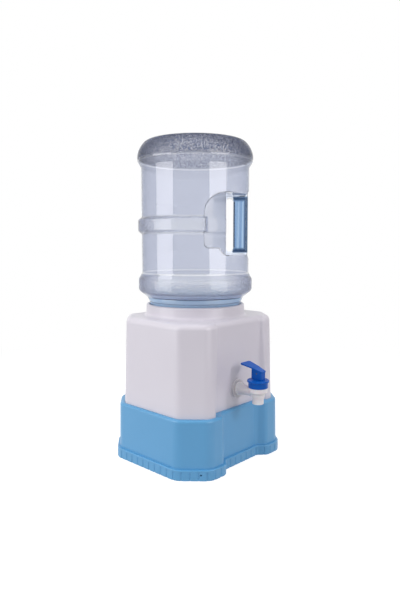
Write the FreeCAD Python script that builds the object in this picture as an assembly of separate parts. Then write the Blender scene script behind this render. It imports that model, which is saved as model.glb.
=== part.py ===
import FreeCAD, Part
import math
import os

from FreeCAD import Vector

# Countertop water dispenser with an inverted carboy, in millimetres.
# It is modelled about the upright axis of the bottle, with the table at z = 0 and the tap
# towards -Y. Every solid is moved by frame_shift when it is saved, so that the origin of the
# finished part is the middle of its footprint.

# ---------------------------------------------------------------- driving dimensions

# plan of the plinth, measured from the bottle axis at the top of the skirt
plinth_half_width = 147.0
plinth_nose = 138.2          # front of the two pillars beside the tap
plinth_back = 122.0
plinth_recess = 122.7        # floor of the recess between the pillars
plinth_pillar_front = 36.6   # flat front of each pillar, from the recess to the cut-off corner
plinth_flank_run = 15.4      # sideways run of the recess's flanks
corner_leg_x = 43.0          # legs of the cut-off corners
corner_leg_y = 48.0
corner_radius = 28.0
plinth_recess_radius = 14.0

# plinth heights and walls
foot_stand = 1.0             # the rubber feet lift the skirt this far off the table
skirt_top = 21.0
skirt_flare = 4.5
skirt_edge_radius = 1.6
plinth_top = 112.6
plinth_draft = 2.0
plinth_rim_radius = 5.0
plinth_wall = 3.0
plinth_deck = 3.0
pocket_depth = 10.4          # the body stands this deep in the plinth
pocket_clearance = 0.4

# flutes and the drain hole of the skirt
flute_pitch = 16.5
flute_radius = 2.3
flute_depth = 1.1
flute_land = 3.6             # plain band left above the flutes
drain_hole_radius = 1.7
drain_hole_height = 12.0
drain_hole_place = 0.30      # along the cut-off corner, from its front end

# rubber feet in their posts
foot_side_inset = 50.0       # from the sides, the front and the back of the plinth
foot_front_inset = 56.2
foot_back_inset = 52.0
foot_head_radius = 12.5
foot_head_height = 3.0
foot_stem_radius = 9.6
foot_stem_height = 10.0
foot_fit = 0.2
post_wall = 2.6

# white body
body_ledge = 8.0             # plinth showing around the foot of the body
body_recess = 111.4          # the recess leans forward towards the top
body_recess_top = 117.5
body_pillar_front = 17.88    # flat front of each pillar at the foot of the body
body_recess_slope = 0.9      # sideways run of the recess's flanks per unit of its depth
body_lip_radius_low = 5.0    # edge of the recess, crisp at the foot of the body
body_lip_radius_high = 12.8  # and soft where it runs out at the top
body_root_radius_low = 16.0
body_root_radius_high = 7.0
body_corner_radius = 23.0
body_top = 288.0
body_draft = 4.0
body_wall = 3.0
body_edge_radius = 12.0

# collar that carries the bottle
collar_outer = 102.5
collar_height = 15.5         # above its ledge
collar_bore = 94.3
collar_lean = 1.0            # the collar narrows by this much towards its lip
collar_foot_radius = 6.0
collar_lip_radius = 4.0
ledge_bore = 87.0
ledge_rise = 8.0             # above the deck of the body
ledge_thickness = 3.0

# screws that hold the body down to the plinth
screw_radius = 1.9
screw_head_radius = 4.0
screw_head_height = 2.5
screw_length = 18.0          # above the underside of the plinth deck
screw_fit = 0.05
screw_hole_clearance = 0.4
boss_radius = 5.0
boss_height = 24.0

# reservoir hanging in the collar
tank_bottom = 122.0
tank_wall = 2.0
tank_floor = 2.5
tank_top_radius = 86.5       # outside, under its flange
tank_bottom_radius = 83.0
tank_corner_radius = 12.0
tank_flange_thickness = 2.0
tank_flange_clearance = 0.3
gasket_thickness = 1.2

# upright pad in the leaning wall of the recess, and the reservoir's boss behind it
tap_pad_radius = 21.0
tap_pad_face = 113.6         # its outer face, in front of the bottle axis
tap_pad_thickness = 4.8
tap_boss_radius = 20.0
tap_boss_wall = 3.0

# bottle, upside down, outside of its wall; heights count up from the top of its shoulder cone,
# which stands on the funnel, unless a line says otherwise
bottle_height = 331.4
bottle_wall = 1.8
rim_radius = 117.5
bottle_radius = 110.0
band_radius = 117.0
push_up_depth = 12.0
push_up_radius = 44.0
foot_ring_radius = 60.0
shoulder_turn_radius = 101.5
rim_shoulder_drop = 21.0     # below the bottle's top
rim_height = 40.0
rim_chamfer_height = 13.0
mid_band_above = 12.5        # above and below the middle of the grip
mid_band_below = 15.5
mid_band_chamfer = 3.0
low_band_bottom_rise = 31.9
low_band_top_rise = 54.4
low_band_slope_rise = 68.9
seat_ring_rise = 17.4
seat_ring_radius = 99.0
cone_top_radius = 92.25
cone_slope = 0.704           # rise of the shoulder cone per unit of radius
groove_height = 1.8
groove_depth = 1.0

# roundings of the bottle's corners
push_up_round = 8.0
top_edge_round = 16.0
rim_shoulder_round = 42.0
rim_lower_round = 4.0
rim_chamfer_round = 8.0
mid_band_round = 3.0
low_band_round = 6.0
low_band_lower_round = 10.0
seat_ring_round = 3.0
cone_round = 8.0
neck_round = 6.0

# neck and cap of the bottle (standard 55 mm carboy neck)
neck_radius = 27.5
neck_wall = 3.0
neck_drop = 79.4             # from the top of the shoulder cone down to the end of the neck
cap_wall = 1.5
cap_fit = 0.3
cap_face = 2.0
cap_skirt_height = 20.0
liner_thickness = 1.2
liner_inner_radius = 20.0
cap_tube_bore = 8.2
cap_tube_wall = 1.4
cap_tube_height = 18.0
plug_head = 2.2
plug_skirt = 7.0             # depth of the plug in its tube when the bottle is off
plug_lift = 17.0             # the docked probe holds the plug this far out of the tube
plug_fit = 0.1

# grip moulded into the side of the bottle
handle_azimuth = -48.0
grip_drop = 9.25             # middle of the grip, below the middle of the side wall
pocket_half_height = 59.0
pocket_step = 14.0           # the pocket is shallower beside the foot of the grip
pocket_left = 20.0
pocket_mouth = 104.0         # the pocket flares from here to the side of the bottle
pocket_flare = 9.0
pocket_mouth_radius = 5.0
gap_inner = 63.0             # the finger gap, from the pocket's back wall to the grip
gap_bottom_web = 6.0         # from the bottom of the pocket to the finger gap
gap_top_web = 5.0
grip_inner = 78.0
grip_outer = 107.5
grip_half_width = 14.0
grip_corner_radius = 7.0
pocket_band_rise = 5.0
pocket_plan_round = 5.0
pocket_top_round = 42.0
pocket_step_round = 9.0
pocket_bottom_round = 8.0

# funnel that seats the bottle, and the probe that opens its cap
seat_gap = 0.5
funnel_wall = 2.5
funnel_rim_height = 7.8      # above the reservoir's flange
cone_above_rim = 0.6
spigot_clearance = 0.3       # of the funnel in the mouth of the reservoir
funnel_rim_clearance = 0.4
cup_radius = 31.0
cup_room = 6.0               # between the floor of the cup and the face of the cap
probe_radius = 6.5
probe_bore = 4.5
probe_thread_radius = 8.0
probe_flange_radius = 13.0
probe_flange_height = 2.5
probe_seal_thickness = 1.5
probe_tail = 14.0            # below the floor of the cup
probe_nut_radius = 12.0
probe_nut_height = 6.0
probe_window_width = 3.2
probe_window_height = 8.0
probe_fit = 0.1
filter_offset = 21.0
filter_radius = 4.8
filter_head_radius = 6.5
filter_head_height = 2.5
filter_depth = 7.0

# tap
tap_reach = 165.5            # upright axis of the tap, in front of the bottle axis
shank_z = 149.5
washer_radius = 18.0
washer_thickness = 4.0
shank_flange_radius = 13.0
shank_flange_width = 4.0
shank_root_radius = 11.6
shank_radius = 8.8
shank_taper_length = 19.0
shank_thread_radius = 8.0
shank_thread_fit = 0.2
shank_bore = 4.5
shank_end_beyond_nut = 2.0
inner_washer_radius = 14.0
inner_washer_thickness = 2.5
nut_flat = 13.5              # half of the width across flats
nut_width = 8.0
spout_radius = 10.75
spout_bore = 8.6
spout_bottom = 128.7
spout_top = 140.0
barrel_low_radius = 12.0
barrel_mid_radius = 13.2
barrel_mid_z = 148.0
barrel_radius = 17.9
barrel_low_z = 152.0
barrel_top = 160.5
seat_hole = 5.5
seat_z = 143.0
chamber_low_radius = 9.8
chamber_high_radius = 13.5
thread_boss_radius = 16.3
thread_boss_top = 169.6
bonnet_radius = 18.85
bonnet_fit = 0.1
bonnet_plate_z = 170.0
bonnet_flange_z = 171.5
bonnet_flange_radius = 21.3
bonnet_top = 175.5

# stem, valve cup, spring and seal of the tap
stem_radius = 4.0
stem_fit = 0.1
stem_round_top = 172.4
stem_flat_half = 2.3
stem_bead = 0.8
stem_bead_height = 1.6
cup_outer_radius = 7.5
cup_height = 9.2
cup_floor = 3.2
cup_seat_gap = 0.1
seal_outer_radius = 9.0
seal_thickness = 2.6
seal_fit = 0.15
spring_radius = 6.0
spring_wire = 0.45
spring_turns = 5
spring_end_gap = 0.1

# lever on its cross pin
lever_half_width = 6.0
post_half_depth = 11.8
cam_offset = 6.0             # how far the cam's centre lies behind the pin
cam_clearance = 0.3
pin_z = 188.0
pin_radius = 1.5
pin_fit = 0.08
fork_half_gap = 2.5
fork_front = 4.6
fork_top = 4.6
paddle_tip = 33.0
paddle_tip_half = 15.0
paddle_tip_z = 205.5
paddle_mid = 9.0
paddle_mid_z = 200.2
paddle_heel = 13.0
paddle_heel_half = 6.6
paddle_heel_z = 193.4
paddle_thickness = 2.4
paddle_bend_radius = 60.0
paddle_corner_radius = 3.0

# ---------------------------------------------------------------- derived places

deck_top_z = plinth_top - pocket_depth
deck_bottom_z = deck_top_z - plinth_deck
body_half_width = plinth_half_width - plinth_draft - body_ledge
body_nose = plinth_nose - plinth_draft - body_ledge
body_back = plinth_back - plinth_draft - body_ledge
body_leg_x = corner_leg_x - body_ledge / 2
body_leg_y = corner_leg_y - body_ledge / 2
plinth_mouth = plinth_half_width - corner_leg_x - plinth_pillar_front
body_mouth = body_half_width - body_leg_x - body_pillar_front
body_floor_half = body_mouth - (body_nose - body_recess) * body_recess_slope
ledge_top = body_top + ledge_rise
collar_top = ledge_top + collar_height
tank_flange_z = ledge_top + gasket_thickness
tank_top_z = tank_flange_z + tank_flange_thickness
funnel_rim_top = tank_top_z + funnel_rim_height
cone_top_z = funnel_rim_top + cone_above_rim
cone_angle = math.atan(cone_slope)
bottle_top = cone_top_z + bottle_height
rim_shoulder_z = bottle_top - rim_shoulder_drop
rim_bottom_z = bottle_top - rim_height
side_top_z = rim_bottom_z - rim_chamfer_height
low_band_slope_top = cone_top_z + low_band_slope_rise
low_band_top = cone_top_z + low_band_top_rise
low_band_bottom = cone_top_z + low_band_bottom_rise
seat_ring_top = cone_top_z + seat_ring_rise
grip_middle_z = (side_top_z + low_band_slope_top) / 2 - grip_drop
mid_band_top = grip_middle_z + mid_band_above
mid_band_bottom = grip_middle_z - mid_band_below
pocket_bottom_z = grip_middle_z - pocket_half_height
pocket_top_z = grip_middle_z + pocket_half_height
gap_bottom_z = pocket_bottom_z + gap_bottom_web
gap_top_z = pocket_top_z - gap_top_web
neck_end_z = cone_top_z - neck_drop
cap_face_z = neck_end_z - liner_thickness - cap_face
cup_floor_z = cap_face_z - cup_room
cap_tube_top = cap_face_z + cap_tube_height
plug_head_z = cap_tube_top + plug_lift
plug_bottom_z = plug_head_z - plug_skirt
probe_top_z = plug_head_z - probe_fit
tap_y = -tap_reach
boss_front_y = tap_pad_thickness - tap_pad_face
boss_plate_y = boss_front_y + tap_boss_wall
nut_y = boss_plate_y + inner_washer_thickness
cup_bottom_z = seat_z + cup_seat_gap
cup_top_z = cup_bottom_z + cup_height
seal_bottom_z = bonnet_plate_z - seal_thickness
cam_radius = pin_z - bonnet_top - cam_clearance
front_reach = tap_reach + bonnet_flange_radius
back_reach = plinth_back + skirt_flare
frame_shift = (front_reach - back_reach) / 2
foot_x = plinth_half_width - foot_side_inset
foot_front_y = foot_front_inset - plinth_nose
foot_back_y = plinth_back - foot_back_inset


# ---------------------------------------------------------------- outline helpers

def offset_points(points, inset, closed=True):
    """Move every side of an outline to its left by inset, keeping the number of corners."""
    count = len(points)
    sides = []
    for i in range(count if closed else count - 1):
        a = points[i]
        b = points[(i + 1) % count]
        length = math.hypot(b[0] - a[0], b[1] - a[1])
        direction = ((b[0] - a[0]) / length, (b[1] - a[1]) / length)
        start = (a[0] - direction[1] * inset, a[1] + direction[0] * inset)
        sides.append((start, direction))
    moved = []
    for i in range(count):
        if not closed and i == 0:
            moved.append(sides[0][0])
            continue
        if not closed and i == count - 1:
            (x, y), (dx, dy) = sides[-1]
            a, b = points[-2], points[-1]
            length = math.hypot(b[0] - a[0], b[1] - a[1])
            moved.append((x + dx * length, y + dy * length))
            continue
        (x1, y1), (dx1, dy1) = sides[i - 1]
        (x2, y2), (dx2, dy2) = sides[i]
        cross = dx1 * dy2 - dy1 * dx2
        t = ((x2 - x1) * dy2 - (y2 - y1) * dx2) / cross
        moved.append((x1 + dx1 * t, y1 + dy1 * t))
    return moved


def turn(points, i):
    """Cross product of the two sides that meet at corner i: positive where the outline turns left."""
    a, b, c = points[i - 1], points[i], points[(i + 1) % len(points)]
    return (b[0] - a[0]) * (c[1] - b[1]) - (b[1] - a[1]) * (c[0] - b[0])


def offset_radii(points, radii, inset):
    """Corner radii of an outline after offset_points: left turns tighten, right turns open."""
    out = []
    for i, radius in enumerate(radii):
        if radius == 0:
            out.append(0)
        else:
            out.append(radius - inset if turn(points, i) > 0 else radius + inset)
    return out


def rounded_wire(points, radii, place):
    """Closed wire through the points, each corner rounded by its radius."""
    count = len(points)
    corners = []
    for i in range(count):
        a, b, c = points[i - 1], points[i], points[(i + 1) % count]
        radius = radii[i]
        if radius <= 0:
            corners.append((b, None, b))
            continue
        la = math.hypot(a[0] - b[0], a[1] - b[1])
        lc = math.hypot(c[0] - b[0], c[1] - b[1])
        ua = ((a[0] - b[0]) / la, (a[1] - b[1]) / la)
        uc = ((c[0] - b[0]) / lc, (c[1] - b[1]) / lc)
        half = math.acos(ua[0] * uc[0] + ua[1] * uc[1]) / 2
        tangent = radius / math.tan(half)
        bisector = (ua[0] + uc[0], ua[1] + uc[1])
        norm = math.hypot(*bisector)
        reach = radius / math.sin(half) - radius
        middle = (b[0] + bisector[0] / norm * reach, b[1] + bisector[1] / norm * reach)
        start = (b[0] + ua[0] * tangent, b[1] + ua[1] * tangent)
        end = (b[0] + uc[0] * tangent, b[1] + uc[1] * tangent)
        corners.append((start, middle, end))
    edges = []
    for i, (start, middle, end) in enumerate(corners):
        if middle is not None:
            edges.append(Part.Arc(place(*start), place(*middle), place(*end)).toShape())
        following = corners[(i + 1) % count][0]
        if math.hypot(following[0] - end[0], following[1] - end[1]) > 1e-6:
            edges.append(Part.LineSegment(place(*end), place(*following)).toShape())
    return Part.Wire(edges)


def at_height(z):
    return lambda x, y: Vector(x, y, z)


def in_profile(r, z):
    return Vector(r, 0, z)


def prism(points, radii, bottom, top):
    """Upright prism on an outline in plan."""
    face = Part.Face(rounded_wire(points, radii, at_height(bottom)))
    return face.extrude(Vector(0, 0, top - bottom))


def loft(low, high):
    """Straight-sided solid between two outlines, each given as points, radii and height."""
    wires = [rounded_wire(points, radii, at_height(z)) for points, radii, z in (low, high)]
    return Part.makeLoft(wires, True, True)


def turned(points, radii=None, x=0.0, y=0.0):
    """Solid of revolution of a closed profile of (radius, height) about an upright axis."""
    face = Part.Face(rounded_wire(points, radii or [0] * len(points), in_profile))
    solid = face.revolve(Vector(0, 0, 0), Vector(0, 0, 1), 360)
    solid.translate(Vector(x, y, 0))
    return solid


def tube(outer, inner, bottom, top, x=0.0, y=0.0):
    return turned([(inner, bottom), (outer, bottom), (outer, top), (inner, top)], None, x, y)


def rod(radius, bottom, top, x=0.0, y=0.0):
    return Part.makeCylinder(radius, top - bottom, Vector(x, y, bottom))


def rod_along_y(radius, start_y, end_y, z):
    return Part.makeCylinder(radius, end_y - start_y, Vector(0, start_y, z), Vector(0, 1, 0))


def rod_along_x(radius, half_length, y, z):
    return Part.makeCylinder(radius, 2 * half_length, Vector(-half_length, y, z), Vector(1, 0, 0))


def edges_at_height(solid, z):
    """Edges that lie wholly at one height."""
    flat = []
    for edge in solid.Edges:
        box = edge.BoundBox
        if abs(box.ZMin - z) < 1e-4 and abs(box.ZMax - z) < 1e-4:
            flat.append(edge)
    return flat


def save(name, *solids):
    """Write one node, moved so that the origin is the middle of the footprint."""
    shape = solids[0] if len(solids) == 1 else Part.makeCompound(solids)
    moved = shape.copy()
    moved.translate(Vector(0, frame_shift, 0))
    moved.exportStep("parts/" + name + ".step")


# ---------------------------------------------------------------- plan outlines

def plan_points(half_width, nose, back, recess, mouth_half, floor_half, leg_x, leg_y):
    """Plan with four cut-off corners and a recess in the front, anticlockwise."""
    shoulder = half_width - leg_x
    return [
        (-floor_half, -recess), (floor_half, -recess), (mouth_half, -nose),
        (shoulder, -nose), (half_width, leg_y - nose),
        (half_width, back - leg_y), (shoulder, back),
        (-shoulder, back), (-half_width, back - leg_y),
        (-half_width, leg_y - nose), (-shoulder, -nose), (-mouth_half, -nose),
    ]


def plan_radii(root, lip, corner):
    return [root, root, lip] + [corner] * 8 + [lip]


plinth_plan = plan_points(plinth_half_width, plinth_nose, plinth_back, plinth_recess,
                          plinth_mouth, plinth_mouth - plinth_flank_run, corner_leg_x, corner_leg_y)
plinth_plan_radii = plan_radii(plinth_recess_radius, plinth_recess_radius, corner_radius)


def plinth_section(inset, z):
    return (offset_points(plinth_plan, inset), offset_radii(plinth_plan, plinth_plan_radii, inset), z)


def body_plan(draft, recess):
    nose = body_nose - draft
    mouth_half = body_floor_half + (nose - recess) * body_recess_slope
    return plan_points(body_half_width - draft, nose, body_back - draft, recess,
                       mouth_half, body_floor_half, body_leg_x, body_leg_y)


def body_low(inset, z):
    points = body_plan(0, body_recess)
    radii = plan_radii(body_root_radius_low, body_lip_radius_low, body_corner_radius)
    return (offset_points(points, inset), offset_radii(points, radii, inset), z)


def body_high(inset, z):
    points = body_plan(body_draft, body_recess_top)
    radii = plan_radii(body_root_radius_high, body_lip_radius_high, body_corner_radius)
    return (offset_points(points, inset), offset_radii(points, radii, inset), z)


# ---------------------------------------------------------------- plinth and its feet

foot_places = [(side * foot_x, y) for side in (-1, 1) for y in (foot_front_y, foot_back_y)]


def screw_places():
    """Middle of each cut-off corner of the body, one boss radius inside its wall."""
    depth = body_wall + boss_radius - 1.0
    places = []
    corners = offset_points(body_plan(0, body_recess), depth)
    for first in (3, 5, 7, 9):
        a, b = corners[first], corners[first + 1]
        places.append(((a[0] + b[0]) / 2, (a[1] + b[1]) / 2))
    return places


def skirt():
    """Flared foot of the plinth with upright flutes."""
    points, radii, z = plinth_section(-skirt_flare, foot_stand)
    solid = prism(points, radii, foot_stand, skirt_top)
    solid = solid.makeFillet(skirt_edge_radius, edges_at_height(solid, skirt_top))
    path = rounded_wire(*plinth_section(-skirt_flare - flute_radius + flute_depth, foot_stand)[:2],
                        at_height(0))
    count = round(path.Length / flute_pitch)
    flutes = [rod(flute_radius, 0, skirt_top - flute_land, point.x, point.y)
              for point in path.discretize(Number=count + 1)[:-1]]
    return solid.cut(Part.makeCompound(flutes))


def drain_hole():
    """Small hole through the skirt at the front left corner."""
    corner = offset_points(plinth_plan, -skirt_flare)
    a = Vector(*corner[9], drain_hole_height)
    b = Vector(*corner[10], drain_hole_height)
    middle = b + (a - b) * drain_hole_place
    inward = Vector(0, 0, 1).cross(b - a).normalize()
    length = 2 * (skirt_flare + plinth_wall)
    return Part.makeCylinder(drain_hole_radius, length, middle - inward * skirt_flare, inward)


def plinth():
    wall = loft(plinth_section(0, foot_stand), plinth_section(plinth_draft, plinth_top))
    wall = wall.makeFillet(plinth_rim_radius, edges_at_height(wall, plinth_top))
    solid = wall.fuse(skirt())
    under = loft(plinth_section(plinth_wall, foot_stand - 1),
                 plinth_section(plinth_draft + plinth_wall, deck_bottom_z))
    solid = solid.cut(under)
    pocket_points, pocket_radii, z = body_low(-pocket_clearance, deck_top_z)
    solid = solid.cut(prism(pocket_points, pocket_radii, deck_top_z, plinth_top + 1))
    for x, y in foot_places:
        post = tube(foot_stem_radius + foot_fit + post_wall, foot_stem_radius + foot_fit,
                    foot_head_height, deck_bottom_z + plinth_deck / 2, x, y)
        solid = solid.fuse(post)
        solid = solid.cut(rod(foot_stem_radius + foot_fit, foot_head_height, deck_bottom_z, x, y))
    for x, y in screw_places():
        solid = solid.cut(rod(screw_radius + screw_hole_clearance, deck_bottom_z - 1,
                              deck_top_z + 1, x, y))
    return solid.cut(drain_hole()).removeSplitter()


def foot(x, y):
    stem_top = foot_head_height + foot_stem_height
    return turned([(0, 0), (foot_head_radius, 0), (foot_head_radius, foot_head_height),
                   (foot_stem_radius, foot_head_height), (foot_stem_radius, stem_top), (0, stem_top)],
                  [0, 0.8, 0.4, 0, 1.2, 0], x, y)


# ---------------------------------------------------------------- body with its collar

def collar():
    """Collar, its lip and the ledge inside it that carries the reservoir."""
    ledge_bottom = ledge_top - ledge_thickness
    deck_under = body_top - body_wall
    foot_reach = collar_outer + collar_foot_radius + 0.1
    points = [
        (collar_bore, deck_under), (foot_reach, deck_under), (foot_reach, body_top),
        (collar_outer, body_top), (collar_outer - collar_lean, collar_top),
        (collar_bore, collar_top), (collar_bore, ledge_top), (ledge_bore, ledge_top),
        (ledge_bore, ledge_bottom), (collar_bore, ledge_bottom),
    ]
    radii = [0, 0, 0, collar_foot_radius, collar_lip_radius, collar_lip_radius - 0.5, 0, 0, 0, 0]
    return turned(points, radii)


def body():
    outer = loft(body_low(0, deck_top_z), body_high(0, body_top))
    outer = outer.makeFillet(body_edge_radius, edges_at_height(outer, body_top))
    inner_top = body_top - body_wall
    inner = loft(body_low(body_wall, deck_top_z - 1), body_high(body_wall, inner_top))
    inner = inner.makeFillet(body_edge_radius - body_wall, edges_at_height(inner, inner_top))
    solid = outer.cut(inner)
    solid = solid.fuse(rod_along_y(tap_pad_radius, -tap_pad_face, boss_front_y, shank_z))
    solid = solid.cut(rod(collar_bore, inner_top - 1, body_top + 1)).fuse(collar())
    for x, y in screw_places():
        solid = solid.fuse(rod(boss_radius, deck_top_z, deck_top_z + boss_height, x, y))
    for x, y in screw_places():
        solid = solid.cut(rod(screw_radius + screw_fit, deck_top_z - 1,
                              deck_bottom_z + screw_length + 1, x, y))
    tap_hole = rod_along_y(shank_thread_radius + shank_thread_fit, -tap_pad_face - 1,
                           boss_front_y + 1, shank_z)
    return solid.cut(tap_hole).removeSplitter()


def body_screw(x, y):
    head_bottom = deck_bottom_z - screw_head_height
    return turned([(0, head_bottom), (screw_head_radius, head_bottom), (screw_head_radius, deck_bottom_z),
                   (screw_radius, deck_bottom_z), (screw_radius, deck_bottom_z + screw_length - 2),
                   (0, deck_bottom_z + screw_length)], [0, 1.0, 0, 0, 0, 0], x, y)


# ---------------------------------------------------------------- reservoir, funnel and probe

def reservoir():
    """Open tub with a flange at the top and a boss for the tap at the front."""
    flange_radius = collar_bore - tank_flange_clearance
    outside = turned([(0, tank_bottom), (tank_bottom_radius, tank_bottom), (tank_top_radius, tank_flange_z),
                      (flange_radius, tank_flange_z), (flange_radius, tank_top_z), (0, tank_top_z)],
                     [0, tank_corner_radius, 0, 0, 0, 0])
    inside = turned([(0, tank_bottom + tank_floor), (tank_bottom_radius - tank_wall, tank_bottom + tank_floor),
                     (tank_top_radius - tank_wall, tank_top_z + 1), (0, tank_top_z + 1)],
                    [0, tank_corner_radius - tank_wall, 0, 0])
    inner_y = -tank_bottom_radius / 2
    solid = outside.fuse(rod_along_y(tap_boss_radius, boss_front_y, inner_y, shank_z))
    solid = solid.cut(inside)
    solid = solid.cut(rod_along_y(tap_boss_radius - tap_boss_wall, boss_plate_y, inner_y, shank_z))
    hole = rod_along_y(shank_thread_radius + shank_thread_fit, boss_front_y - 1, boss_plate_y + 1, shank_z)
    return solid.cut(hole).removeSplitter()


def cone_z(radius, gap=0.0):
    """Height of the bottle's shoulder cone at a radius, or of a surface a gap below it."""
    return cone_top_z - cone_slope * (cone_top_radius - radius) - gap / math.cos(cone_angle)


def cone_radius(z, gap=0.0):
    """Radius at which that surface reaches a height."""
    return cone_top_radius - (cone_top_z - gap / math.cos(cone_angle) - z) / cone_slope


def funnel():
    """Seat for the bottle's shoulder, with a cup around its neck."""
    under = seat_gap + funnel_wall
    rim_radius_out = collar_bore - funnel_rim_clearance
    floor_bottom = cup_floor_z - funnel_wall
    cup_outside = cup_radius + funnel_wall
    spigot = tank_top_radius - tank_wall - spigot_clearance
    points = [
        (0, floor_bottom), (cup_outside, floor_bottom), (cup_outside, cone_z(cup_outside, under)),
        (spigot, cone_z(spigot, under)), (spigot, tank_top_z), (rim_radius_out, tank_top_z),
        (rim_radius_out, funnel_rim_top), (cone_radius(funnel_rim_top, seat_gap), funnel_rim_top),
        (cup_radius, cone_z(cup_radius, seat_gap)), (cup_radius, cup_floor_z), (0, cup_floor_z),
    ]
    solid = turned(points, [0, 3.0, 3.0, 0, 0, 0, 0.8, 0, 3.0, 1.5, 0])
    solid = solid.cut(rod(probe_thread_radius + probe_fit, floor_bottom - 1, cup_floor_z + 1))
    return solid.cut(rod(filter_radius, floor_bottom - 1, cup_floor_z + 1, 0, filter_offset))


def probe():
    """Hollow probe: it stands in the cup's floor and reaches through the cap's tube."""
    flange_bottom = cup_floor_z + probe_seal_thickness
    flange_top = flange_bottom + probe_flange_height
    bottom = cup_floor_z - probe_tail
    solid = turned([(0, bottom), (probe_thread_radius, bottom), (probe_thread_radius, flange_bottom),
                    (probe_flange_radius, flange_bottom), (probe_flange_radius, flange_top),
                    (probe_radius, flange_top), (probe_radius, probe_top_z), (0, probe_top_z)],
                   [0, 0, 0, 0, 0.6, 1.0, 4.0, 0])
    solid = solid.cut(rod(probe_bore, bottom - 1, plug_bottom_z))
    window_z = (cap_tube_top + plug_bottom_z - probe_window_height) / 2
    for angle in (0, 90):
        window = Part.makeBox(4 * probe_radius, probe_window_width, probe_window_height,
                              Vector(-2 * probe_radius, -probe_window_width / 2, window_z))
        window.rotate(Vector(0, 0, 0), Vector(0, 0, 1), angle)
        solid = solid.cut(window)
    return solid


def hexagon(flat, x, z):
    corner = flat / math.cos(math.pi / 6)
    return [(x + corner * math.cos(math.pi / 3 * i), z + corner * math.sin(math.pi / 3 * i))
            for i in range(6)]


def air_filter():
    bottom = cup_floor_z - filter_depth
    head_top = cup_floor_z + filter_head_height
    return turned([(0, bottom), (filter_radius, bottom), (filter_radius, cup_floor_z),
                   (filter_head_radius, cup_floor_z), (filter_head_radius, head_top), (0, head_top)],
                  [0, 0.8, 0, 0, 0.8, 0], 0, filter_offset)


# ---------------------------------------------------------------- bottle

def bottle_chain():
    """Outside of the bottle from its axis at the top down to the neck, with corner radii."""
    cone_foot_z = cone_z(neck_radius)
    return [
        ((0, bottle_top - push_up_depth), 0),
        ((push_up_radius, bottle_top - push_up_depth), push_up_round),
        ((foot_ring_radius, bottle_top), push_up_round),
        ((shoulder_turn_radius, bottle_top), top_edge_round),
        ((rim_radius, rim_shoulder_z), rim_shoulder_round),
        ((rim_radius, rim_bottom_z), rim_lower_round),
        ((bottle_radius, side_top_z), rim_chamfer_round),
        ((bottle_radius, mid_band_top + mid_band_chamfer), mid_band_round),
        ((band_radius, mid_band_top - mid_band_chamfer), mid_band_round),
        ((band_radius, mid_band_bottom + mid_band_chamfer), mid_band_round),
        ((bottle_radius, mid_band_bottom - mid_band_chamfer), mid_band_round),
        ((bottle_radius, low_band_slope_top), low_band_round),
        ((band_radius, low_band_top), low_band_round),
        ((band_radius, low_band_bottom), low_band_lower_round),
        ((seat_ring_radius, seat_ring_top), seat_ring_round),
        ((cone_top_radius, cone_top_z), cone_round),
        ((neck_radius, cone_foot_z), neck_round),
        ((neck_radius, neck_end_z), 0),
    ]


def bottle_solid(inset, neck_inset):
    """Solid inside the bottle's outside (inset 0) or inside its wall."""
    chain = bottle_chain()
    points = [point for point, radius in chain]
    radii = [radius for point, radius in chain]
    moved = offset_points(points, -inset, closed=False)
    new_radii = [0] + offset_radii(points, radii, -inset)[1:-1] + [0]
    moved[0] = (0, moved[0][1])
    if inset:
        foot_radius = neck_radius - neck_inset
        moved[-2] = (foot_radius, moved[-3][1] - cone_slope * (moved[-3][0] - foot_radius))
        moved[-1] = (foot_radius, neck_end_z - 1)
    end = moved[-1]
    return turned(moved + [(0, end[1])], new_radii + [0])


def pocket_plan(shift):
    """Plan of the hand pocket in the grip's frame: X runs out through the grip."""
    reach = rim_radius * 1.2
    side = math.sqrt(bottle_radius ** 2 - pocket_left ** 2)
    slope = (pocket_left - gap_inner) / (side - grip_half_width)
    far = gap_inner + slope * (reach - grip_half_width)
    points = [(far, reach), (gap_inner, grip_half_width), (gap_inner, -grip_half_width), (far, -reach),
              (reach, -reach), (reach, reach)]
    radii = [0, pocket_plan_round, pocket_plan_round, 0, 0, 0]
    return offset_points(points, shift), offset_radii(points, radii, shift)


def pocket_side(shift):
    """The same pocket seen along the gap behind the grip: X outwards, then height."""
    reach = pocket_mouth + 3 * pocket_flare
    step_z = pocket_bottom_z + pocket_step
    points = [(pocket_left, pocket_top_z), (pocket_left, step_z), (gap_inner - pocket_step, step_z),
              (gap_inner - pocket_step / 3, pocket_bottom_z), (pocket_mouth, pocket_bottom_z),
              (pocket_mouth + pocket_flare, pocket_bottom_z - 2 * pocket_flare),
              (reach, pocket_bottom_z - 2 * pocket_flare), (reach, pocket_top_z + 2 * pocket_flare),
              (pocket_mouth + pocket_flare, pocket_top_z + 2 * pocket_flare), (pocket_mouth, pocket_top_z)]
    radii = [pocket_top_round, pocket_step_round, pocket_bottom_round, pocket_bottom_round,
             pocket_mouth_radius, 0, 0, 0, 0, pocket_mouth_radius]
    return offset_points(points, shift), offset_radii(points, radii, shift)


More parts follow.
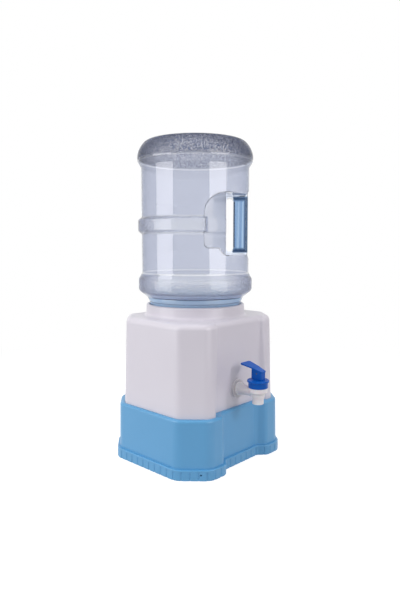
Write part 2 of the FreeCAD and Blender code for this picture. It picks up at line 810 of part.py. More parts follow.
def pocket(wall):
    """Hand pocket grown by wall: what it takes out of the outside, or out of the inside."""
    plan_outline, plan_round = pocket_plan(-wall)
    side_outline, side_round = pocket_side(-wall)
    solid = prism(plan_outline, plan_round, pocket_bottom_z - 3 * pocket_flare,
                  pocket_top_z + 3 * pocket_flare)
    side_face = Part.Face(rounded_wire(side_outline, side_round,
                                       lambda x, z: Vector(x, -2 * rim_radius, z)))
    solid = solid.common(side_face.extrude(Vector(0, 4 * rim_radius, 0)))
    strip_outline, strip_round = pocket_plan(pocket_band_rise - wall)
    strip = prism(strip_outline, strip_round, mid_band_bottom + wall, mid_band_top - wall)
    block = Part.makeBox(gap_inner - wall, 4 * rim_radius, mid_band_top - mid_band_bottom - 2 * wall,
                         Vector(0, -2 * rim_radius, mid_band_bottom + wall))
    return solid.cut(block.cut(strip))


def grip(wall):
    """Upright grip across the pocket, shrunk by wall, with the rounded ends of the finger gap."""
    half = grip_half_width - wall
    low = pocket_bottom_z - 2 * pocket_flare
    high = pocket_top_z + 2 * pocket_flare
    inside = grip_inner + wall
    outside = grip_outer - wall
    points = [(inside, -half), (outside, -half), (outside, half), (inside, half)]
    solid = prism(points, [grip_corner_radius - wall] * 4, low, high)
    round_end = (grip_inner - gap_inner) / 2
    middle = gap_inner + round_end
    start = gap_inner - bottle_wall - wall
    for end_z, side in ((gap_bottom_z + round_end, -1), (gap_top_z - round_end, 1)):
        height = high - gap_top_z + round_end
        base = end_z if side > 0 else end_z - height
        web = Part.makeBox(grip_inner + grip_corner_radius - start, 2 * half, height,
                           Vector(start, -half, base))
        hole = Part.makeCylinder(round_end + wall, 4 * grip_half_width,
                                 Vector(middle, -2 * grip_half_width, end_z), Vector(0, 1, 0))
        solid = solid.fuse(web.cut(hole))
    return solid


def bottle():
    hand = pocket(0)
    hand_inside = pocket(bottle_wall)
    column = grip(0)
    column_inside = grip(bottle_wall)
    for piece in (hand, hand_inside, column, column_inside):
        piece.rotate(Vector(0, 0, 0), Vector(0, 0, 1), handle_azimuth)
    column = column.common(rod(bottle_radius, pocket_bottom_z - 3 * pocket_flare,
                               pocket_top_z + 3 * pocket_flare))
    outside = bottle_solid(0, 0).cut(hand).fuse(column)
    inside = bottle_solid(bottle_wall, neck_wall).cut(hand_inside).fuse(column_inside)
    groove = tube(seat_ring_radius + 5, seat_ring_radius - groove_depth,
                  seat_ring_top - groove_height / 2, seat_ring_top + groove_height / 2)
    return outside.cut(inside).cut(groove).removeSplitter()


def cap():
    """Snap-on cap with a tube in its middle for the probe."""
    outer = neck_radius + cap_fit + cap_wall
    inner = neck_radius + cap_fit
    face_top = cap_face_z + cap_face
    tube_outer = cap_tube_bore + cap_tube_wall
    return turned([(cap_tube_bore, cap_face_z), (outer, cap_face_z), (outer, cap_face_z + cap_skirt_height),
                   (inner, cap_face_z + cap_skirt_height), (inner, face_top), (tube_outer, face_top),
                   (tube_outer, cap_tube_top), (cap_tube_bore, cap_tube_top)],
                  [0, 1.2, 0, 0, 0, 0, 0, 0])


def cap_plug():
    """Plug pushed out of the cap's tube, sitting on the tip of the probe."""
    head = cap_tube_bore + cap_tube_wall
    skirt_outer = cap_tube_bore - plug_fit
    skirt_inner = probe_radius + probe_fit
    top = plug_head_z + plug_head
    return turned([(skirt_inner, plug_bottom_z), (skirt_outer, plug_bottom_z), (skirt_outer, plug_head_z),
                   (head, plug_head_z), (head, top), (0, top), (0, plug_head_z), (skirt_inner, plug_head_z)],
                  [0, 0.5, 0, 0, 1.0, 0, 0, 0])


# ---------------------------------------------------------------- tap

def tap_body():
    """Threaded shank, barrel and spout in one moulding."""
    flange_back = -tap_pad_face - washer_thickness
    flange_front = flange_back - shank_flange_width
    taper_end = flange_front - shank_taper_length
    shank_end = nut_y + nut_width + shank_end_beyond_nut
    along = [(0, shank_end), (shank_thread_radius, shank_end), (shank_thread_radius, flange_back),
             (shank_flange_radius, flange_back), (shank_flange_radius, flange_front),
             (shank_root_radius, flange_front), (shank_radius, taper_end), (shank_radius, tap_y), (0, tap_y)]
    wire = rounded_wire(along, [0, 0.8, 0, 0.6, 0.6, 1.0, 6.0, 0, 0], lambda r, y: Vector(r, y, shank_z))
    shank = Part.Face(wire).revolve(Vector(0, 0, shank_z), Vector(0, 1, 0), 360)
    barrel = turned([(0, spout_bottom), (spout_radius, spout_bottom), (spout_radius, spout_top),
                     (barrel_low_radius, spout_top), (barrel_mid_radius, barrel_mid_z),
                     (barrel_radius, barrel_low_z), (barrel_radius, barrel_top),
                     (thread_boss_radius, barrel_top), (thread_boss_radius, thread_boss_top),
                     (0, thread_boss_top)], [0, 0.6, 0.4, 0.6, 3.0, 2.0, 0.4, 0, 0, 0], 0, tap_y)
    solid = shank.fuse(barrel)
    solid = solid.cut(rod(spout_bore, spout_bottom - 1, spout_top, 0, tap_y))
    solid = solid.cut(rod(seat_hole, spout_top - 1, seat_z + 1, 0, tap_y))
    solid = solid.cut(rod(chamber_low_radius, seat_z, barrel_low_z + 1, 0, tap_y))
    solid = solid.cut(rod(chamber_high_radius, barrel_low_z, thread_boss_top + 1, 0, tap_y))
    bore_end = tap_y + chamber_low_radius / 2
    return solid.cut(rod_along_y(shank_bore, bore_end, shank_end + 1, shank_z)).removeSplitter()


def tap_nut():
    corners = hexagon(nut_flat, 0, shank_z)
    wire = Part.makePolygon([Vector(x, nut_y, z) for x, z in corners + corners[:1]])
    solid = Part.Face(wire).extrude(Vector(0, nut_width, 0))
    return solid.cut(rod_along_y(shank_thread_radius + shank_thread_fit / 2, nut_y - 1,
                                 nut_y + nut_width + 1, shank_z))


def ring_along_y(outer, inner, start_y, end_y):
    return rod_along_y(outer, start_y, end_y, shank_z).cut(rod_along_y(inner, start_y - 1, end_y + 1, shank_z))


def tap_bonnet():
    inner = thread_boss_radius + bonnet_fit
    return turned([(stem_radius + stem_fit, bonnet_plate_z), (inner, bonnet_plate_z), (inner, barrel_top),
                   (bonnet_radius, barrel_top), (bonnet_radius, bonnet_flange_z),
                   (bonnet_flange_radius, bonnet_flange_z), (bonnet_flange_radius, bonnet_top),
                   (stem_radius + stem_fit, bonnet_top)],
                  [0, 0, 0, 0.6, 0.8, 1.2, 1.6, 0.4], 0, tap_y)


def tap_stem():
    """Round stem with a bead in the valve cup and a flat head for the cross pin."""
    bottom = cup_bottom_z + cup_floor
    bead_z = bottom + 1.5
    solid = rod(stem_radius, bottom, pin_z + stem_radius, 0, tap_y)
    solid = solid.fuse(rod(stem_radius + stem_bead, bead_z, bead_z + stem_bead_height, 0, tap_y))
    size = 4 * stem_radius
    for side in (-1, 1):
        x = stem_flat_half if side > 0 else -stem_flat_half - size
        solid = solid.cut(Part.makeBox(size, size, size * 4, Vector(x, tap_y - size / 2, stem_round_top)))
    head_box = Part.makeBox(size, size, size, Vector(-size / 2, tap_y - size / 2, pin_z))
    round_head = rod_along_x(stem_radius, size / 2, tap_y, pin_z)
    solid = solid.cut(head_box.cut(round_head))
    return solid.cut(rod_along_x(pin_radius + pin_fit / 2, size, tap_y, pin_z))


def valve_cup():
    bore = stem_radius + stem_fit
    floor = cup_bottom_z + cup_floor
    bead_z = floor + 1.5
    solid = turned([(0, cup_bottom_z), (cup_outer_radius, cup_bottom_z), (cup_outer_radius, cup_top_z),
                    (bore, cup_top_z), (bore, floor - stem_fit), (0, floor - stem_fit)],
                   [0, 1.5, 0.8, 0, 0, 0], 0, tap_y)
    return solid.cut(rod(bore + stem_bead, bead_z - stem_fit, bead_z + stem_bead_height + stem_fit, 0, tap_y))


def tap_spring():
    """Round-wire compression spring between the valve cup and the stem seal."""
    low = cup_top_z + spring_end_gap + spring_wire
    high = seal_bottom_z - spring_end_gap - spring_wire
    path = Part.makeLongHelix((high - low) / spring_turns, high - low, spring_radius)
    section = Part.Wire(Part.makeCircle(spring_wire, Vector(spring_radius, 0, 0), Vector(0, 1, 0)))
    solid = Part.Wire(path).makePipeShell([section], True, True)
    solid.translate(Vector(0, tap_y, low))
    return solid


def lever_paddle():
    """Thumb paddle: a bent plate that widens towards its tip."""
    points = [(-paddle_heel, paddle_heel_z - paddle_thickness), (paddle_mid, paddle_mid_z - paddle_thickness),
              (paddle_tip, paddle_tip_z - paddle_thickness), (paddle_tip, paddle_tip_z),
              (paddle_mid, paddle_mid_z), (-paddle_heel, paddle_heel_z)]
    bend = paddle_bend_radius
    wire = rounded_wire(points, [0, bend, 0, 0, bend, 0],
                        lambda y, z: Vector(-2 * paddle_tip_half, tap_y + y, z))
    plate = Part.Face(wire).extrude(Vector(4 * paddle_tip_half, 0, 0))
    outline = [(-paddle_heel_half, tap_y - paddle_heel), (paddle_heel_half, tap_y - paddle_heel),
               (paddle_tip_half, tap_y + paddle_tip), (-paddle_tip_half, tap_y + paddle_tip)]
    cutter = prism(outline, [1.0, 1.0, paddle_corner_radius, paddle_corner_radius],
                   paddle_heel_z - 10, paddle_tip_z + 10)
    return plate.common(cutter)


def tap_lever():
    """Paddle on a forked post whose foot is the cam that lifts the stem."""
    foot_z = pin_z - cam_radius
    cam_angle = math.asin((post_half_depth - cam_offset) / cam_radius)
    cam_edge = Vector(0, tap_y + post_half_depth, pin_z - cam_radius * math.cos(cam_angle))
    cam_middle = Vector(0, tap_y + cam_offset + cam_radius * math.sin(cam_angle / 2),
                        pin_z - cam_radius * math.cos(cam_angle / 2))
    heel = Vector(0, tap_y - post_half_depth, foot_z)
    cam_start = Vector(0, tap_y + cam_offset, foot_z)
    heel_top = Vector(0, tap_y - post_half_depth, paddle_heel_z - paddle_thickness / 2)
    back_top = Vector(0, tap_y + post_half_depth, paddle_mid_z - paddle_thickness / 2)
    edges = [Part.LineSegment(heel, cam_start), Part.Arc(cam_start, cam_middle, cam_edge),
             Part.LineSegment(cam_edge, back_top), Part.LineSegment(back_top, heel_top),
             Part.LineSegment(heel_top, heel)]
    profile = Part.Face(Part.Wire([edge.toShape() for edge in edges]))
    profile.translate(Vector(-lever_half_width, 0, 0))
    solid = profile.extrude(Vector(2 * lever_half_width, 0, 0)).fuse(lever_paddle())
    slot = Part.makeBox(2 * fork_half_gap, fork_front + 2 * post_half_depth, pin_z + fork_top - foot_z + 1,
                        Vector(-fork_half_gap, tap_y - fork_front, foot_z - 1))
    solid = solid.cut(slot)
    return solid.cut(rod_along_x(pin_radius + pin_fit, 2 * lever_half_width, tap_y, pin_z)).removeSplitter()


# ---------------------------------------------------------------- nodes

os.makedirs("parts", exist_ok=True)

save("base_shell", plinth())
save("rubber_feet", *[foot(x, y) for x, y in foot_places])
save("body_shell", body())
save("body_screws", *[body_screw(x, y) for x, y in screw_places()])

save("inner_tank", reservoir())
save("tank_gasket", tube(collar_bore - tank_flange_clearance, ledge_bore, ledge_top, tank_flange_z))
save("seat_funnel", funnel())
save("feed_probe", probe())
save("probe_seal", tube(probe_flange_radius, probe_thread_radius + probe_fit, cup_floor_z,
                        cup_floor_z + probe_seal_thickness))
save("probe_nut", tube(probe_nut_radius, probe_thread_radius + probe_fit,
                       cup_floor_z - funnel_wall - probe_nut_height, cup_floor_z - funnel_wall))
save("air_filter", air_filter())

save("water_bottle", bottle())
save("bottle_cap", cap())
save("cap_liner", tube(neck_radius, liner_inner_radius, cap_face_z + cap_face, neck_end_z))
save("cap_plug", cap_plug())

save("tap_body", tap_body())
save("tap_washer_outer", ring_along_y(washer_radius, shank_thread_radius + shank_thread_fit,
                                      -tap_pad_face - washer_thickness, -tap_pad_face))
save("tap_washer_inner", ring_along_y(inner_washer_radius, shank_thread_radius + shank_thread_fit,
                                      boss_plate_y, nut_y))
save("tap_nut", tap_nut())
save("tap_bonnet", tap_bonnet())
save("stem_seal", tube(seal_outer_radius, stem_radius + seal_fit, seal_bottom_z, bonnet_plate_z, 0, tap_y))
save("tap_stem", tap_stem())
save("valve_cup", valve_cup())
save("tap_spring", tap_spring())
save("lever_pin", rod_along_x(pin_radius, lever_half_width, tap_y, pin_z))
save("tap_lever", tap_lever())
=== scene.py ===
import math
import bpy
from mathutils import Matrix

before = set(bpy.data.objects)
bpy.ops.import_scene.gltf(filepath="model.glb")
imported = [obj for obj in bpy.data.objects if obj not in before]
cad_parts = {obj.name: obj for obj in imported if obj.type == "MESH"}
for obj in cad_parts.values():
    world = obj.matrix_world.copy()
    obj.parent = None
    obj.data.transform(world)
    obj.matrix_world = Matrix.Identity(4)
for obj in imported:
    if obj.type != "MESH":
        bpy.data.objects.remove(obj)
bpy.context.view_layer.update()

from types import SimpleNamespace

import bpy
from mathutils import Vector

# ---------------------------------------------------------------- where things are, in metres

BOTTLE_Y = 0.03015                      # the upright axis of the bottle
GRIP_TURN = math.radians(-48)           # the way the bottle's grip points
RIM_ZS = (0.6015, 0.7000)               # heights of the pebbled rim and bands
LOW_BAND_ZS = (0.3345, 0.3665)
MID_BAND_ZS = (0.4545, 0.4865)
BAND_INSIDE = 0.1095                    # the bands lie further out than this
WALL_INSIDE = 0.1078                    # and the side wall than this
FAR = 1.0                               # beyond every point of the bottle
POCKET_ZS = (0.4045, 0.5405)            # heights of the hand pockets
POCKET_FROM = 0.015                     # where they start, out from the axis towards the grip
LIP_ZS = (0.3985, 0.5450)               # the pockets' rounded lips
LIP_FROM = 0.008
LIP_INSIDE = 0.1125
GRIP_ZS = (0.416, 0.529)                # the grip
GRIP_FROM = 0.0770
GRIP_HALF = 0.0165
# outside the grip's middle and past its ends the grip is painted darker as shade
GRIP_OUT = (0.0805, 0.1005)             # the grip's middle, out from the axis
GRIP_BETWEEN_ZS = (0.4235, 0.5225)      # between its dark ends
# heights of thin painted glint lines at the edges of the rim and bands
PAINTED_GLINT_ZS = ((0.5975, 0.6000), (0.4835, 0.4870), (0.4540, 0.4572), (0.3735, 0.3765))
NECK_END_Z = 0.2                        # under the bottle's mouth
SEAT_RING_Z = 0.3265                    # top of the part that sits in the collar
SEAT_LINES = ((-0.001, 0.001), (-0.0105, -0.009))   # its dark rings, up from there
CAMERA_PLACE = (-0.8129, -0.7716 + BOTTLE_Y, 0.4365)
CAMERA_LOOKS = (0.7271, 0.6783, -0.1062)    # the way it looks
LAMPS_AIM_Z = 0.35                      # the lamps look at the axis at this height
GLOSS_SPREAD = 0.06                     # how much the gloss of moulded plastic varies, up and down

# ---------------------------------------------------------------- node helpers


class Graph:
    """A material's nodes, made one after another."""

    def __init__(self, name):
        self.material = bpy.data.materials.new(name)
        self.material.use_nodes = True
        self.tree = self.material.node_tree
        self.shader = self.tree.nodes["Principled BSDF"]

    def node(self, kind, **inputs):
        made = self.tree.nodes.new(kind)
        for socket, value in inputs.items():
            self.put(made.inputs[socket.replace("_", " ")], value)
        return made

    def put(self, socket, value):
        if isinstance(value, bpy.types.NodeSocket):
            self.tree.links.new(value, socket)
        else:
            socket.default_value = value

    def math(self, operation, a, b=0.0, clamp=False):
        made = self.tree.nodes.new("ShaderNodeMath")
        made.operation = operation
        made.use_clamp = clamp
        self.put(made.inputs[0], a)
        self.put(made.inputs[1], b)
        return made.outputs[0]

    def mix(self, amount, a, b):
        made = self.tree.nodes.new("ShaderNodeMix")
        made.data_type = "RGBA"
        self.put(made.inputs["Factor"], amount)
        self.put(made.inputs["A"], a)
        self.put(made.inputs["B"], b)
        return made.outputs["Result"]

    def place(self):
        if not hasattr(self, "_place"):
            self._place = self.node("ShaderNodeTexCoord").outputs["Object"]
        return self._place

    def axes(self):
        if not hasattr(self, "_axes"):
            self._axes = self.node("ShaderNodeSeparateXYZ", Vector=self.place()).outputs
        return self._axes

    def noise(self, scale, detail=3.0, rough=0.5):
        made = self.node("ShaderNodeTexNoise", Vector=self.place(), Scale=scale, Detail=detail,
                         Roughness=rough)
        return made.outputs["Fac"]

    def between(self, value, low, high, soft):
        """1 where value lies between low and high, with soft edges."""
        rise = self.math("DIVIDE", self.math("SUBTRACT", value, low - soft), 2 * soft, clamp=True)
        fall = self.math("DIVIDE", self.math("SUBTRACT", high + soft, value), 2 * soft, clamp=True)
        return self.math("MULTIPLY", rise, fall)

    def all_of(self, *values):
        """Product of values from 0 to 1."""
        result = values[0]
        for value in values[1:]:
            result = self.math("MULTIPLY", result, value)
        return result

    def any_of(self, *values):
        """Largest of several values."""
        result = values[0]
        for value in values[1:]:
            result = self.math("MAXIMUM", result, value)
        return result

    def total(self, *values):
        """Sum of several values."""
        result = values[0]
        for value in values[1:]:
            result = self.math("ADD", result, value)
        return result

    def rest_of(self, value):
        """What a value from 0 to 1 leaves."""
        return self.math("SUBTRACT", 1.0, value)

    def remap(self, value, low, high):
        """A 0 to 1 value stretched to low to high."""
        return self.math("ADD", self.math("MULTIPLY", value, high - low), low)

    def lies_along(self, direction, low, high):
        """1 where the surface runs along a direction, 0 where it is turned to face it."""
        dot = self.tree.nodes.new("ShaderNodeVectorMath")
        dot.operation = "DOT_PRODUCT"
        self.put(dot.inputs[0], self.node("ShaderNodeNewGeometry").outputs["Normal"])
        self.put(dot.inputs[1], direction)
        faced = self.math("ABSOLUTE", dot.outputs["Value"])
        return self.math("DIVIDE", self.math("SUBTRACT", high, faced), high - low, clamp=True)

    def bump(self, height, distance, strength=1.0, normal=None):
        made = self.node("ShaderNodeBump", Height=height, Distance=distance, Strength=strength)
        if normal is not None:
            self.put(made.inputs["Normal"], normal)
        return made.outputs["Normal"]

    def set(self, **values):
        for socket, value in values.items():
            self.put(self.shader.inputs[socket.replace("_", " ")], value)
        return self.material


def rgb(r, g, b):
    return (r, g, b, 1.0)


def moulded(name, dark, light, roughness, grain=900.0, grain_depth=0.00002, cloud=9.0, **more):
    """Moulded plastic or rubber: cloudy colour, a fine grain and uneven gloss."""
    g = Graph(name)
    clouds = g.noise(cloud, 4.0, 0.55)
    colour = g.mix(clouds, rgb(*dark), rgb(*light))
    gloss = g.remap(g.noise(cloud * 5, 3.0), roughness - GLOSS_SPREAD, roughness + GLOSS_SPREAD)
    fine = g.bump(g.noise(grain, 2.0), grain_depth)
    ripple = g.bump(g.noise(28.0, 1.0), 0.00025, 0.5, fine)
    return g.set(Base_Color=colour, Roughness=gloss, Normal=ripple, **more)


# ---------------------------------------------------------------- materials

white_body = moulded("white_body_plastic", (0.620, 0.598, 0.655), (0.655, 0.634, 0.690), 0.34,
                     IOR=1.5, Coat_Weight=0.12, Coat_Roughness=0.2)
blue_plinth = moulded("blue_plinth_plastic", (0.084, 0.300, 0.540), (0.096, 0.328, 0.580), 0.36,
                      IOR=1.5, Coat_Weight=0.10, Coat_Roughness=0.2)
white_liner = moulded("white_liner_plastic", (0.70, 0.70, 0.72), (0.76, 0.76, 0.78), 0.45)
tap_white = moulded("tap_white_plastic", (0.72, 0.69, 0.71), (0.78, 0.75, 0.77), 0.30, cloud=60.0,
                    Subsurface_Weight=0.12, Subsurface_Scale=0.004, IOR=1.5)
tap_blue = moulded("tap_blue_plastic", (0.000, 0.078, 0.390), (0.001, 0.098, 0.455), 0.30, cloud=70.0,
                   IOR=1.5, Specular_IOR_Level=0.16)
cap_blue = moulded("cap_blue_plastic", (0.12, 0.26, 0.55), (0.15, 0.30, 0.60), 0.40, cloud=50.0)
stem_white = moulded("stem_acetal", (0.60, 0.60, 0.58), (0.66, 0.66, 0.64), 0.35, cloud=80.0)
silicone = moulded("silicone", (0.58, 0.58, 0.57), (0.64, 0.64, 0.63), 0.50, cloud=60.0,
                   Subsurface_Weight=0.2, Subsurface_Scale=0.002)
washer_white = moulded("washer_rubber", (0.56, 0.54, 0.56), (0.62, 0.60, 0.62), 0.55, cloud=60.0)
foot_rubber = moulded("foot_rubber", (0.018, 0.018, 0.020), (0.030, 0.030, 0.033), 0.75, cloud=60.0,
                      grain_depth=0.00005)
filter_white = moulded("sintered_filter", (0.66, 0.66, 0.64), (0.74, 0.74, 0.72), 0.85, grain=1500.0,
                       grain_depth=0.0002)


def brushed(name, colour, roughness):
    g = Graph(name)
    streaks = g.node("ShaderNodeMapping", Vector=g.place(), Scale=(300.0, 300.0, 4000.0)).outputs["Vector"]
    lines = g.node("ShaderNodeTexNoise", Vector=streaks, Scale=1.0, Detail=2.0).outputs["Fac"]
    tone = g.mix(lines, rgb(*[c * 0.85 for c in colour]), rgb(*colour))
    return g.set(Base_Color=tone, Metallic=1.0, Roughness=g.remap(lines, roughness - 0.08, roughness + 0.08),
                 Normal=g.bump(lines, 0.00001))


screw_steel = brushed("zinc_steel", (0.62, 0.62, 0.60), 0.32)
stainless = brushed("stainless_steel", (0.68, 0.68, 0.68), 0.25)
pin_steel = brushed("dull_pin_steel", (0.10, 0.12, 0.17), 0.50)


def bottle_places(g):
    """Where on the bottle a point is: 0 to 1 for each place, and its distance out and height in metres."""
    at = SimpleNamespace()
    x, y, at.z = g.axes()
    cos, sin = math.cos(GRIP_TURN), math.sin(GRIP_TURN)
    across = g.math("SUBTRACT", y, BOTTLE_Y)
    reach = g.math("SQRT", g.math("ADD", g.math("MULTIPLY", x, x), g.math("MULTIPLY", across, across)))
    at.out = g.math("ADD", g.math("MULTIPLY", x, cos), g.math("MULTIPLY", across, sin))
    along = g.math("SUBTRACT", g.math("MULTIPLY", across, cos), g.math("MULTIPLY", x, sin))

    at.in_grip = g.all_of(g.between(at.out, GRIP_FROM, FAR, 0.001),
                          g.between(along, -GRIP_HALF, GRIP_HALF, 0.001), g.between(at.z, *GRIP_ZS, 0.002))
    # near_edge and thin_edge grow where the surface is seen at a slant; they paint shade on the bottle's
    # edges, and near_edge also thins its coat there
    facing = g.node("ShaderNodeLayerWeight", Blend=0.5).outputs["Facing"]
    at.near_edge = g.math("MULTIPLY", g.math("SUBTRACT", facing, 0.16), 2.1, clamp=True)
    thin_edge = g.math("MULTIPLY", g.math("POWER", facing, 3.0), 1.5, clamp=True)
    at.wall_edge = g.all_of(thin_edge, g.between(reach, WALL_INSIDE, FAR, 0.0005))

    bands = g.total(g.all_of(g.between(at.z, *LOW_BAND_ZS, 0.0015), 0.62),
                    g.all_of(g.between(at.z, *MID_BAND_ZS, 0.0015), 0.50))
    # the bands' pebble mix grows where they are seen at a slant, part of the painted edge shade
    bands = g.math("MULTIPLY", bands, g.math("ADD", 1.0, g.all_of(at.near_edge, 0.4)), clamp=True)
    at.bands = g.all_of(bands, g.between(reach, BAND_INSIDE, FAR, 0.0005))
    at.rim = g.between(at.z, *RIM_ZS, 0.0015)
    at.pebbled = g.all_of(g.any_of(at.rim, at.bands), g.rest_of(at.in_grip))
    at.seat = g.between(at.z, NECK_END_Z, SEAT_RING_Z, 0.001)
    at.above_seat = g.between(at.z, SEAT_RING_Z, LOW_BAND_ZS[0], 0.001)
    at.pocket = g.all_of(g.between(at.z, *POCKET_ZS, 0.002), g.between(at.out, POCKET_FROM, FAR, 0.003),
                         g.between(reach, 0.0, WALL_INSIDE, 0.0005))
    # the lips' fillets that run along the grip's side direction, where painted highlights go
    at.pocket_lip = g.all_of(g.between(at.z, *LIP_ZS, 0.002), g.between(at.out, LIP_FROM, GRIP_OUT[0], 0.002),
                             g.between(reach, 0.0, LIP_INSIDE, 0.0008),
                             g.lies_along((-sin, cos, 0.0), 0.45, 0.80))
    return at


def clear_wall(g, at):
    """Colour of the smooth wall: painted shade at its edges, pockets painted paler, painted highlights on the
    pockets' lips and painted glint lines beside the bands.
    """
    colour = g.mix(g.noise(14.0, 2.0), rgb(0.685, 0.710, 0.798), rgb(0.710, 0.734, 0.815))
    # painted shade: the side wall is painted dark where it is seen at a slant
    colour = g.mix(at.wall_edge, colour, rgb(0.28, 0.33, 0.45))
    # painted light: the pockets' walls are painted paler than the rest of the wall
    colour = g.mix(at.pocket, colour, rgb(0.91, 0.94, 1.0))
    # painted highlights: thin white glint lines beside the rim and bands
    pale = g.any_of(*[g.between(at.z, low, high, 0.0006) for low, high in PAINTED_GLINT_ZS])
    colour = g.mix(g.all_of(pale, 0.8), colour, rgb(1.0, 1.0, 1.0))
    # painted highlights on the pockets' lips
    return g.mix(at.pocket_lip, colour, rgb(0.90, 0.93, 1.0))


def speckled(g, at, grains):
    """Colour of the pebbles, with painted shade where the wall is seen at a slant, darkest on the rim."""
    on_bands = g.mix(grains, rgb(0.86, 0.90, 0.97), rgb(1.0, 1.0, 1.0))
    on_rim = g.mix(grains, rgb(0.28, 0.33, 0.50), rgb(1.0, 1.0, 1.0))
    # painted shade: dark colours for the rim's and bands' edges seen at a slant
    rim_edge_shade = g.mix(grains, rgb(0.003, 0.012, 0.065), rgb(0.06, 0.11, 0.30))
    band_edge_shade = g.mix(grains, rgb(0.230, 0.270, 0.440), rgb(0.60, 0.66, 0.88))
    return g.mix(at.near_edge, g.mix(at.rim, on_bands, on_rim), g.mix(at.rim, band_edge_shade, rim_edge_shade))


def grip_tube(g, at):
    """Colour of the thick blue grip, with painted highlight streaks along its length and painted shade at its
    sides, ends and slanted edges.
    """
    upright = g.node("ShaderNodeMapping", Vector=g.place(), Scale=(150.0, 150.0, 3.0)).outputs["Vector"]
    # painted highlights: light streaks along the grip
    streaks = g.node("ShaderNodeTexNoise", Vector=upright, Scale=1.0, Detail=1.0).outputs["Fac"]
    streaks = g.math("ADD", g.all_of(streaks, 3.0), -1.0, clamp=True)
    colour = g.mix(streaks, rgb(0.34, 0.50, 0.70), rgb(0.72, 0.81, 0.92))
    # painted shade at the grip's sides, ends and slanted edges
    sides = g.rest_of(g.between(at.out, *GRIP_OUT, 0.0015))
    ends = g.rest_of(g.between(at.z, *GRIP_BETWEEN_ZS, 0.003))
    return g.mix(g.any_of(at.near_edge, g.all_of(sides, 0.8), ends), colour, rgb(0.10, 0.20, 0.34))


def clear_plastic():
    """Clear polycarbonate, pebbled on its bands, blue where it is thick, with painted shade at its edges,
    pockets painted paler and painted highlights on lips, band edges and grip.
    """
    g = Graph("clear_polycarbonate")
    at = bottle_places(g)
    grains = g.math("ADD", g.all_of(g.noise(340.0, 1.0), 3.6), -1.3, clamp=True)
    colour = g.mix(at.pebbled, clear_wall(g, at), speckled(g, at, grains))
    colour = g.mix(at.in_grip, colour, grip_tube(g, at))
    colour = g.mix(g.all_of(at.seat, 0.9), colour, rgb(0.58, 0.79, 1.0))
    colour = g.mix(g.all_of(at.above_seat, 0.6), colour, rgb(0.68, 0.78, 0.96))
    for low, high in SEAT_LINES:
        ring = g.between(at.z, SEAT_RING_Z + low, SEAT_RING_Z + high, 0.0006)
        colour = g.mix(g.all_of(ring, 0.7), colour, rgb(0.10, 0.15, 0.25))

    pebbles = g.node("ShaderNodeTexVoronoi", Vector=g.place(), Scale=400.0, Randomness=1.0)
    relief = g.bump(g.all_of(at.pebbled, g.total(pebbles.outputs["Distance"], grains)), 0.0008, 0.8)
    waves = g.bump(g.noise(22.0, 1.0), 0.0006, 0.25, relief)
    hazy = g.any_of(g.all_of(at.rim, 0.25), g.all_of(at.bands, 0.15))
    hazy = g.total(hazy, g.all_of(at.seat, 0.50), g.all_of(at.above_seat, 0.3), g.all_of(at.pocket_lip, 0.30))
    bare = g.any_of(g.all_of(g.any_of(at.near_edge, at.pebbled), 0.9), g.all_of(at.pocket, 0.8))
    return g.set(Base_Color=colour, Roughness=g.remap(at.pebbled, 0.02, 0.12), Normal=waves, IOR=1.22,
                 Transmission_Weight=g.rest_of(hazy), Coat_Roughness=0.03, Coat_IOR=1.66,
                 Coat_Weight=g.rest_of(bare))


MATERIALS = {
    "base_shell": blue_plinth, "rubber_feet": foot_rubber, "body_shell": white_body,
    "body_screws": screw_steel, "inner_tank": white_liner, "tank_gasket": silicone,
    "seat_funnel": white_liner, "feed_probe": white_liner, "probe_seal": silicone,
    "probe_nut": white_liner, "air_filter": filter_white, "water_bottle": clear_plastic(),
    "bottle_cap": cap_blue, "cap_liner": silicone, "cap_plug": cap_blue, "tap_body": tap_white,
    "tap_washer_outer": washer_white, "tap_washer_inner": silicone, "tap_nut": tap_white,
    "tap_bonnet": tap_blue, "stem_seal": silicone, "tap_stem": stem_white, "valve_cup": silicone,
    "tap_spring": stainless, "lever_pin": pin_steel, "tap_lever": tap_blue,
}
for node_name, node_material in MATERIALS.items():
    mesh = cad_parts[node_name].data
    if mesh.materials:
        for index in range(len(mesh.materials)):
            mesh.materials[index] = node_material
    else:
        mesh.materials.append(node_material)

# ---------------------------------------------------------------- stage and light


def background_rays(nodes, links):
    """1 for the rays that show the background: from the camera, and off or through glass and metal."""
    path = nodes.new("ShaderNodeLightPath")
    seen = path.outputs["Is Camera Ray"]
    for ray in ("Is Glossy Ray", "Is Transmission Ray"):
        either = nodes.new("ShaderNodeMath")
        either.operation = "MAXIMUM"
        links.new(seen, either.inputs[0])
        links.new(path.outputs[ray], either.inputs[1])
        seen = either.outputs[0]
    return seen


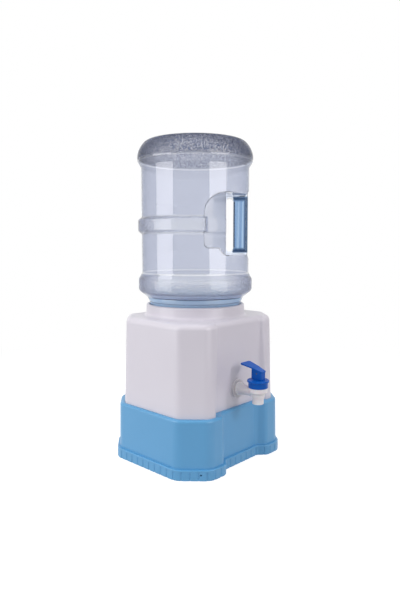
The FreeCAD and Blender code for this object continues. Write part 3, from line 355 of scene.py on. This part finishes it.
def backdrop_material(name, colour, glow, fade_from, fade_to):
    """Floor that shows near white, holds the object's shadow and fades to plain white further out."""
    m = bpy.data.materials.new(name)
    m.use_nodes = True
    nodes, links = m.node_tree.nodes, m.node_tree.links
    nodes.clear()
    out = nodes.new("ShaderNodeOutputMaterial")
    diffuse = nodes.new("ShaderNodeBsdfDiffuse")
    diffuse.inputs["Color"].default_value = rgb(*colour)
    light = nodes.new("ShaderNodeEmission")
    light.inputs["Color"].default_value = rgb(1, 1, 1)
    seen = background_rays(nodes, links)
    strength = nodes.new("ShaderNodeMath")
    strength.operation = "MULTIPLY"
    strength.inputs[1].default_value = glow
    links.new(seen, strength.inputs[0])
    links.new(strength.outputs[0], light.inputs["Strength"])
    add = nodes.new("ShaderNodeAddShader")
    links.new(diffuse.outputs[0], add.inputs[0])
    links.new(light.outputs[0], add.inputs[1])
    white = nodes.new("ShaderNodeEmission")
    links.new(seen, white.inputs["Strength"])
    spot = nodes.new("ShaderNodeTexCoord")
    away = nodes.new("ShaderNodeVectorMath")
    away.operation = "LENGTH"
    links.new(spot.outputs["Object"], away.inputs[0])
    fade = nodes.new("ShaderNodeMapRange")
    fade.interpolation_type = "SMOOTHSTEP"
    fade.inputs["From Min"].default_value = fade_from
    fade.inputs["From Max"].default_value = fade_to
    links.new(away.outputs["Value"], fade.inputs["Value"])
    blend = nodes.new("ShaderNodeMixShader")
    links.new(fade.outputs["Result"], blend.inputs[0])
    links.new(add.outputs[0], blend.inputs[1])
    links.new(white.outputs[0], blend.inputs[2])
    links.new(blend.outputs[0], out.inputs["Surface"])
    return m


bpy.ops.mesh.primitive_plane_add(size=14.0, location=(0, 0, 0))
floor = bpy.context.object
floor.name = "floor"
floor.data.materials.append(backdrop_material("floor_pale", (0.55, 0.55, 0.56), 0.72, 0.45, 1.3))

world = bpy.data.worlds.new("studio")
bpy.context.scene.world = world
world.use_nodes = True
sky, wires = world.node_tree.nodes, world.node_tree.links
background = sky["Background"]
background.inputs["Color"].default_value = rgb(1, 1, 1)
seen_by = background_rays(sky, wires)
AMBIENT = 0.46
level = sky.new("ShaderNodeMath")
level.operation = "MULTIPLY_ADD"
level.inputs[1].default_value = 1.0 - AMBIENT
level.inputs[2].default_value = AMBIENT
wires.new(seen_by, level.inputs[0])
wires.new(level.outputs[0], background.inputs["Strength"])


def softbox(name, azimuth, elevation, distance, width, height, radiance, colour=(1.0, 1.0, 1.0)):
    """Area lamp that looks at the object and doesn't show through the bottle.

    Its power follows from its radiance and size.
    """
    data = bpy.data.lights.new(name, "AREA")
    data.shape = "RECTANGLE"
    data.size, data.size_y = width, height
    data.energy = radiance * math.pi * width * height
    data.color = colour
    lamp = bpy.data.objects.new(name, data)
    bpy.context.scene.collection.objects.link(lamp)
    turn, rise = math.radians(azimuth), math.radians(elevation)
    away = Vector((math.cos(turn) * math.cos(rise), math.sin(turn) * math.cos(rise), math.sin(rise)))
    lamp.location = Vector((0.0, 0.0, LAMPS_AIM_Z)) + distance * away
    lamp.rotation_euler = (-away).to_track_quat("-Z", "Y").to_euler()
    lamp.visible_transmission = False
    return lamp


softbox("left_box", 157, 14, 1.6, 1.15, 1.6, 2.9, (1.0, 0.98, 1.0))
softbox("front_box", 272, 20, 1.6, 1.15, 1.5, 0.95, (1.0, 0.94, 0.99))
glint = softbox("front_glint", 270, 14, 1.7, 1.15, 1.5, 2.2)
glint.visible_diffuse = False
top = softbox("top_box", 200, 75, 1.8, 1.4, 1.4, 2.3)
top.visible_glossy = False
key = softbox("key_light", 283, 25, 1.6, 0.26, 0.26, 23.0, (1.0, 0.94, 0.99))
key.visible_glossy = False

# ---------------------------------------------------------------- camera

camera_data = bpy.data.cameras.new("camera")
camera_data.sensor_width = 36.0
camera_data.lens = 32.31
camera_data.clip_start = 0.01
camera = bpy.data.objects.new("camera", camera_data)
bpy.context.scene.collection.objects.link(camera)
camera.location = CAMERA_PLACE
camera.rotation_euler = Vector(CAMERA_LOOKS).to_track_quat("-Z", "Y").to_euler()
bpy.context.scene.camera = camera
bpy.context.scene.view_settings.view_transform = "Standard"
